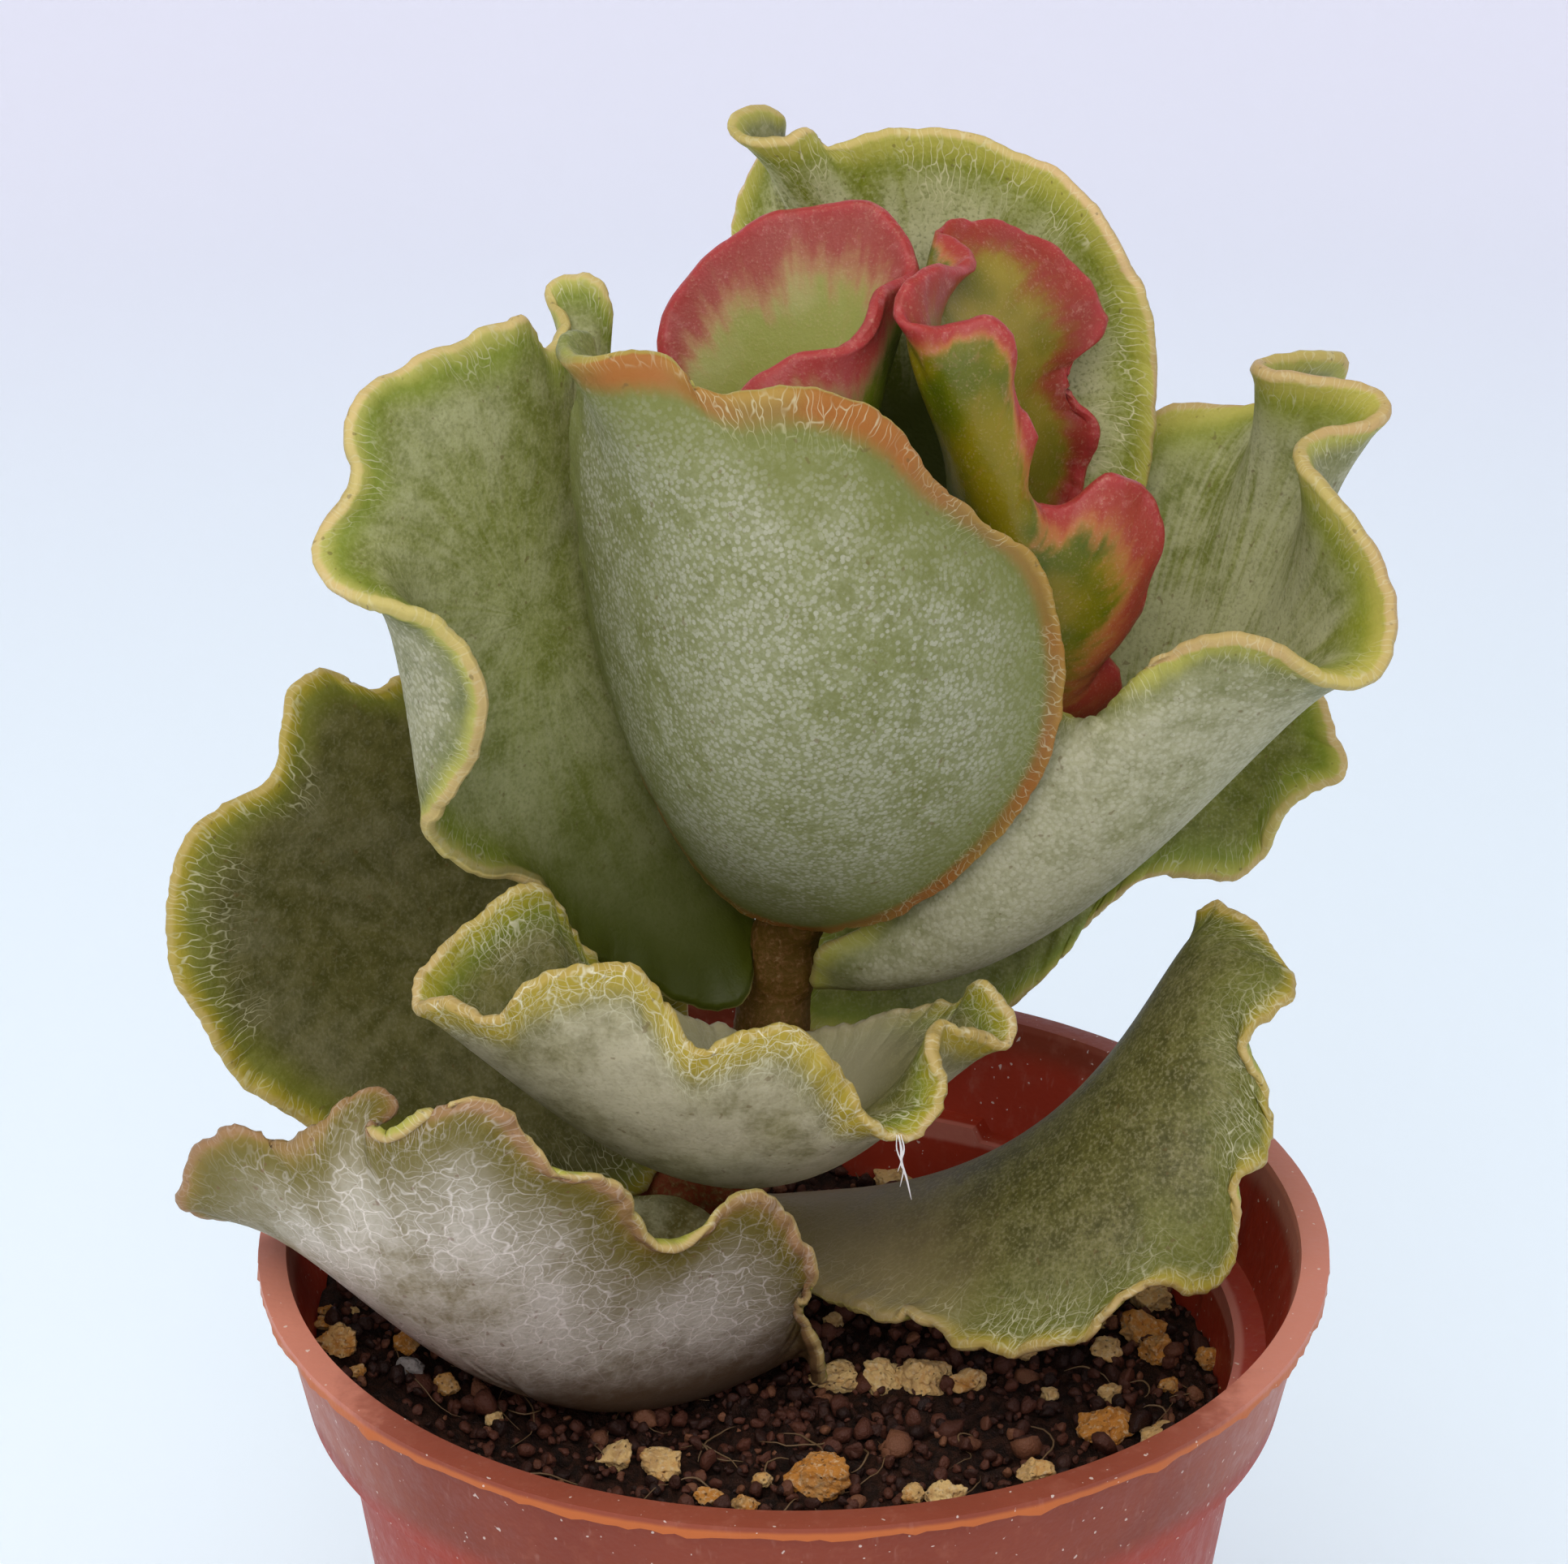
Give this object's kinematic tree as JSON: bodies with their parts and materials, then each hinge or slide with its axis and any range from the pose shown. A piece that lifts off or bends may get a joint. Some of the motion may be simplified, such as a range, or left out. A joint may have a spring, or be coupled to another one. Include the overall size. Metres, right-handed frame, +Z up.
{
  "type": "potted succulent plant",
  "caption": "Small succulent with thick, waved, wax-coated leaves and red young leaves, in a round plastic nursery pot of soil.",
  "frame": {"origin": "middle of the pot's flat base", "axes": "+Z up, +X to the right and +Y away from the viewer of the picture"},
  "size_m": [0.0631, 0.056, 0.1039],
  "materials": {
    "pot_plastic": "matte terracotta plastic",
    "soil": "dark peat crumb with pumice grains",
    "stem": "brown, slightly rough",
    "grown_leaf": "grey-green with a pale wax coat",
    "young_leaf": "smooth, green in the middle and red at the margin"
  },
  "bodies": {
    "root": {"pot": "pot_plastic", "soil": "soil", "stem": "stem", "leaf_a": "grown_leaf", "leaf_b": "grown_leaf", "leaf_c": "grown_leaf", "leaf_d": "grown_leaf", "leaf_e": "young_leaf", "leaf_f": "young_leaf", "leaf_g": "grown_leaf", "leaf_h": "grown_leaf", "leaf_i": "grown_leaf", "leaf_j": "grown_leaf", "leaf_k": "grown_leaf"}
  },
  "joints": []
}
